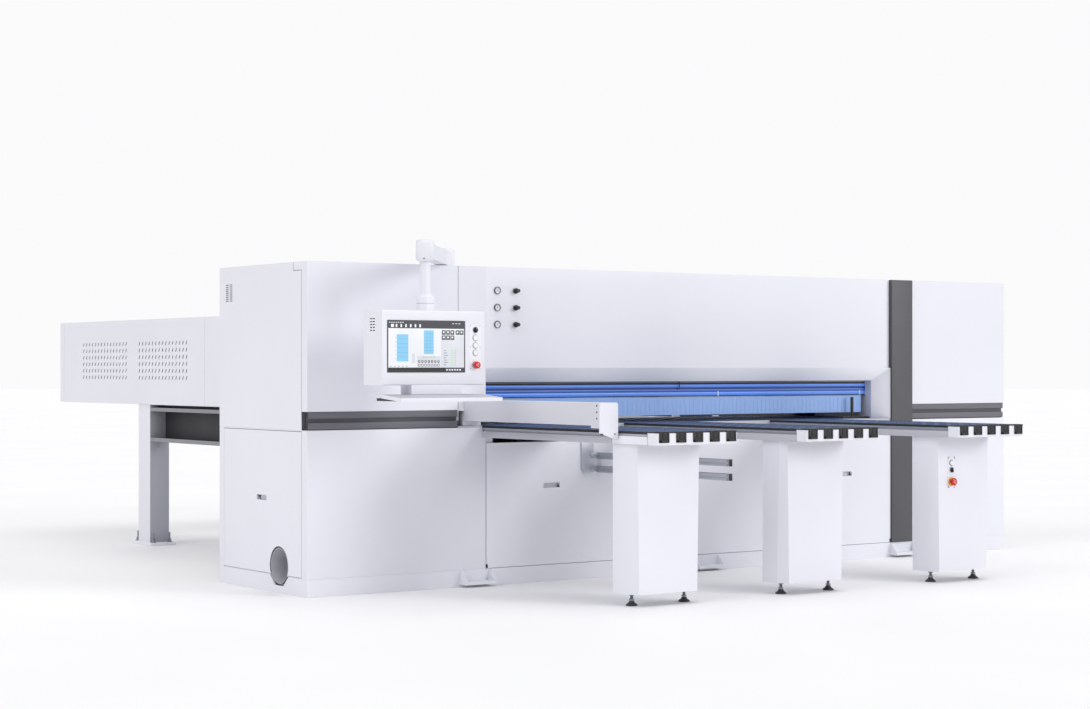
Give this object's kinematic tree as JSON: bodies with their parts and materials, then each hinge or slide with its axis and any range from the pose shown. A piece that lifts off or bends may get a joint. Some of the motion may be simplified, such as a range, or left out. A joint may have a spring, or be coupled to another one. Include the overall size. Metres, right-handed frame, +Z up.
{
  "type": "beam saw",
  "caption": "Long panel saw whose blade carriage runs under a slotted table and a pressure beam, with air tables, fence, swinging console and rear pusher.",
  "frame": {"origin": "on the floor, under the middle of the machine body", "axes": "+X along the cut from the operator's left to right, +Y from the operator to the rear, +Z up"},
  "size_m": [5.65, 7.1903, 2.014],
  "materials": {
    "white_paint": "satin",
    "grey_paint": "satin",
    "dark_paint": "satin",
    "table_top": "semi-gloss",
    "aluminium": "anodised satin",
    "machined_steel": "machined",
    "blade_steel": "ground",
    "curtain_plastic": "glossy",
    "black_plastic": "matt",
    "white_plastic": "glossy",
    "red_plastic": "glossy",
    "screen": "glossy"
  },
  "bodies": {
    "machine": {"base_frame": "white_paint", "left_lower_cabinet": "white_paint", "left_side_panel": "white_paint", "left_upper_cabinet": "white_paint", "left_upper_cover": "white_paint", "left_guide_strip": "dark_paint", "dust_duct": "machined_steel", "beam_hood": "white_paint", "end_column": "dark_paint", "right_lower_cabinet": "white_paint", "right_upper_cabinet": "white_paint", "right_guide_strip": "dark_paint", "front_panel_left": "white_paint", "front_panel_right": "white_paint", "table_front": "table_top", "table_rear": "table_top", "curtain_rail": "aluminium", "air_table_1": "table_top", "air_table_2": "table_top", "air_table_3": "table_top", "table_end_cap_1": "white_paint", "table_end_cap_2": "white_paint", "table_end_cap_3": "white_paint", "pedestal_1": "white_paint", "pedestal_2": "white_paint", "pedestal_3": "white_paint", "fence_beam": "white_paint", "fence_end_cover": "white_paint", "accessory_rails": "aluminium", "rear_frame_left": "grey_paint", "rear_frame_right": "grey_paint", "rear_roller_table": "aluminium", "rear_cover_left": "white_paint", "console_arm_base": "grey_paint"},
    "carriage": {"saw_carriage": "dark_paint"},
    "saw_lift": {"saw_unit": "machined_steel"},
    "cutting_blade": {"main_blade": "blade_steel"},
    "scoring_disc": {"scoring_blade": "blade_steel"},
    "clamp_beam": {"pressure_beam": "aluminium"},
    "curtain": {"strip_curtain": "curtain_plastic"},
    "aligner": {"side_aligner": "black_plastic"},
    "pusher": {"pusher_beam": "dark_paint"},
    "arm": {"console_arm": "white_paint"},
    "console": {"console_housing": "white_paint", "console_screen": "screen", "console_tray": "white_paint"},
    "knob_1": {"regulator_knob_1": "black_plastic"},
    "knob_2": {"regulator_knob_2": "black_plastic"},
    "knob_3": {"regulator_knob_3": "black_plastic"},
    "jaw_1": {"gripper_jaw_1": "machined_steel"},
    "jaw_2": {"gripper_jaw_2": "machined_steel"},
    "jaw_3": {"gripper_jaw_3": "machined_steel"},
    "button_1": {"console_button_1": "white_plastic"},
    "button_2": {"console_button_2": "white_plastic"},
    "button_3": {"console_button_3": "white_plastic"},
    "selector": {"console_selector": "black_plastic"},
    "stop_button": {"console_stop_button": "red_plastic"},
    "pedestal_push": {"pedestal_button": "white_plastic"},
    "pedestal_switch": {"pedestal_selector": "black_plastic"},
    "pedestal_stop": {"pedestal_stop_button": "red_plastic"}
  },
  "joints": [
    {"name": "carriage_travel", "type": "slide", "parent": "machine", "child": "carriage", "axis": [1, 0, 0], "range_m": [0, 4.1]},
    {"name": "saw_lift_travel", "type": "slide", "parent": "carriage", "child": "saw_lift", "axis": [0, 0, 1], "range_m": [0, 0.15]},
    {"name": "cutting_blade_spin", "type": "hinge", "parent": "saw_lift", "child": "cutting_blade", "pos_m": [-2.025, -0.2475, 0.69], "axis": [0, 1, 0], "continuous": true},
    {"name": "scoring_disc_spin", "type": "hinge", "parent": "saw_lift", "child": "scoring_disc", "pos_m": [-1.715, -0.2475, 0.716], "axis": [0, 1, 0], "continuous": true},
    {"name": "clamp_beam_travel", "type": "slide", "parent": "machine", "child": "clamp_beam", "axis": [0, 0, 1], "range_m": [-0.15, 0]},
    {"name": "curtain_swing", "type": "hinge", "parent": "machine", "child": "curtain", "pos_m": [-0.003, -0.405, 1.102], "axis": [1, 0, 0], "range_deg": [-8, 60]},
    {"name": "aligner_travel", "type": "slide", "parent": "machine", "child": "aligner", "axis": [1, 0, 0], "range_m": [-2, 0]},
    {"name": "pusher_travel", "type": "slide", "parent": "machine", "child": "pusher", "axis": [0, 1, 0], "range_m": [-4.4, 0]},
    {"name": "console_arm_swing", "type": "hinge", "parent": "machine", "child": "arm", "pos_m": [-1.764, -0.3325, 1.904], "axis": [0, 0, 1], "range_deg": [-10, 90]},
    {"name": "console_swivel", "type": "hinge", "parent": "arm", "child": "console", "pos_m": [-2.378, -1.0845, 1.883], "axis": [0, 0, 1], "range_deg": [-90, 90]},
    {"name": "knob_1_turn", "type": "hinge", "parent": "machine", "child": "knob_1", "pos_m": [-1.408, -0.5475, 1.759], "axis": [0, 1, 0], "range_deg": [-540, 540]},
    {"name": "knob_2_turn", "type": "hinge", "parent": "machine", "child": "knob_2", "pos_m": [-1.408, -0.5475, 1.657], "axis": [0, 1, 0], "range_deg": [-540, 540]},
    {"name": "knob_3_turn", "type": "hinge", "parent": "machine", "child": "knob_3", "pos_m": [-1.408, -0.5475, 1.556], "axis": [0, 1, 0], "range_deg": [-540, 540]},
    {"name": "jaw_1_open", "type": "hinge", "parent": "pusher", "child": "jaw_1", "pos_m": [-1.035, 4.6525, 1.07], "axis": [-1, 0, 0], "range_deg": [0, 30]},
    {"name": "jaw_2_open", "type": "hinge", "parent": "pusher", "child": "jaw_2", "pos_m": [-0.265, 4.6525, 1.07], "axis": [-1, 0, 0], "range_deg": [0, 30]},
    {"name": "jaw_3_open", "type": "hinge", "parent": "pusher", "child": "jaw_3", "pos_m": [0.945, 4.6525, 1.07], "axis": [-1, 0, 0], "range_deg": [0, 30]},
    {"name": "button_1_press", "type": "slide", "parent": "console", "child": "button_1", "axis": [0, 1, 0], "range_m": [0, 0.004], "stiffness_N_per_m": 300},
    {"name": "button_2_press", "type": "slide", "parent": "console", "child": "button_2", "axis": [0, 1, 0], "range_m": [0, 0.004], "stiffness_N_per_m": 300},
    {"name": "button_3_press", "type": "slide", "parent": "console", "child": "button_3", "axis": [0, 1, 0], "range_m": [0, 0.004], "stiffness_N_per_m": 300},
    {"name": "selector_turn", "type": "hinge", "parent": "console", "child": "selector", "pos_m": [-2.107, -1.1765, 1.508], "axis": [0, 1, 0], "range_deg": [-45, 45]},
    {"name": "stop_button_press", "type": "slide", "parent": "console", "child": "stop_button", "axis": [0, 1, 0], "range_m": [0, 0.006]},
    {"name": "pedestal_push_press", "type": "slide", "parent": "machine", "child": "pedestal_push", "axis": [0, 1, 0], "range_m": [0, 0.004], "stiffness_N_per_m": 300},
    {"name": "pedestal_switch_turn", "type": "hinge", "parent": "machine", "child": "pedestal_switch", "pos_m": [0.798, -1.9995, 0.678], "axis": [0, 1, 0], "range_deg": [-45, 45]},
    {"name": "pedestal_stop_press", "type": "slide", "parent": "machine", "child": "pedestal_stop", "axis": [0, 1, 0], "range_m": [0, 0.006]}
  ],
  "couplings": [
    {"joint": "jaw_2_open", "follows": "jaw_1_open", "ratio": 1},
    {"joint": "jaw_3_open", "follows": "jaw_1_open", "ratio": 1}
  ]
}
